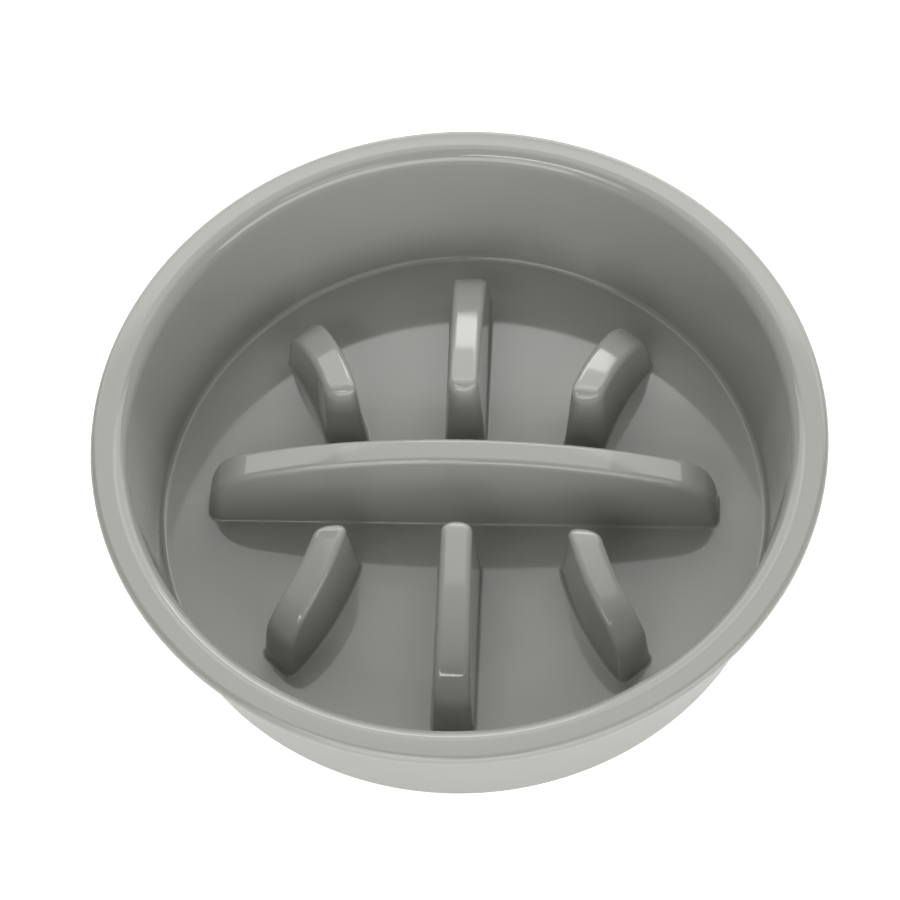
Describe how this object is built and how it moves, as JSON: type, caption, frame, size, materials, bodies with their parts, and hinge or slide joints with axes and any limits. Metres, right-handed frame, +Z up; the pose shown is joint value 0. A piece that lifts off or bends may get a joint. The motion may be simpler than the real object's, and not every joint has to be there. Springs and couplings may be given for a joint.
{
  "type": "slow_feeder_bowl",
  "caption": "round slow feeder bowl in glossy warm grey plastic, with tall rounded ridges on its floor and rubber anti-slip pads below",
  "frame": {"origin": "centre of the rest plane, under the centre of the bowl", "axes": "+Z up, +X along the long ridge, -Y towards the viewer of the picture"},
  "size_m": [0.2, 0.2, 0.0494],
  "materials": {
    "grey_plastic": "glossy",
    "pad_rubber": "matte"
  },
  "bodies": {
    "root": {"bowl": "grey_plastic", "foot_pad_1": "pad_rubber", "foot_pad_2": "pad_rubber", "foot_pad_3": "pad_rubber", "foot_pad_4": "pad_rubber"}
  },
  "joints": []
}
